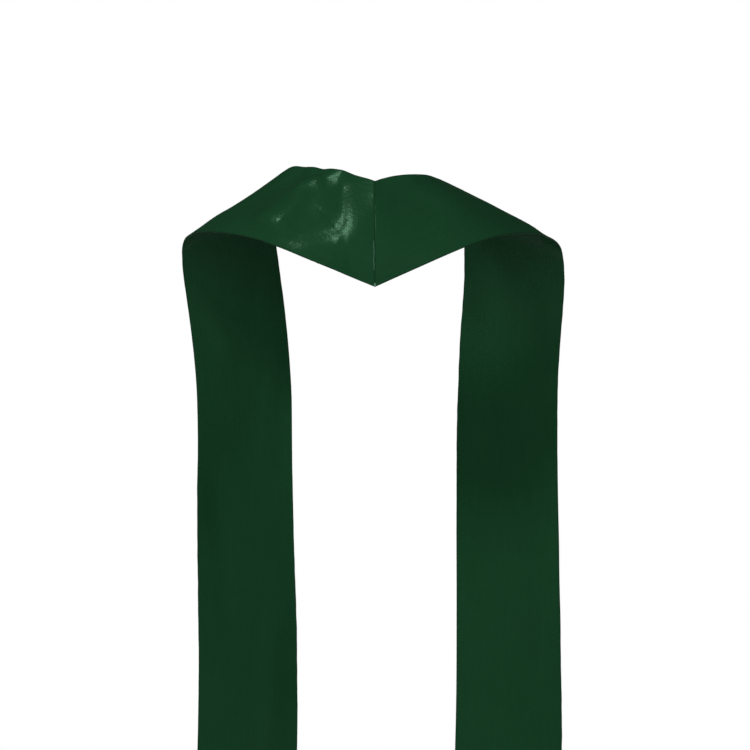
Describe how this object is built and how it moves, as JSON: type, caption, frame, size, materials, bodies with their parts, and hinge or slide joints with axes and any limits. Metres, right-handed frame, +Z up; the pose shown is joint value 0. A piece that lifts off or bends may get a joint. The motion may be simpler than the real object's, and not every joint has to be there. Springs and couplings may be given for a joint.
{
  "type": "clerical stole",
  "caption": "Plain green satin clerical stole in its worn shape: V at the centre back, bands over the shoulders and long fronts with pointed hems.",
  "frame": {"origin": "on the axis of the wearer's neck, level with the neck edge at the centre back, between the shoulders that hold the stole", "axes": "+Z up, the wearer faces -Y, and the wearer's left is +X"},
  "size_m": [0.3885, 0.2261, 1.1221],
  "materials": {
    "satin": "deep green polyester satin with a soft sheen"
  },
  "bodies": {
    "root": {"left_panel": "satin", "right_panel": "satin"}
  },
  "joints": []
}
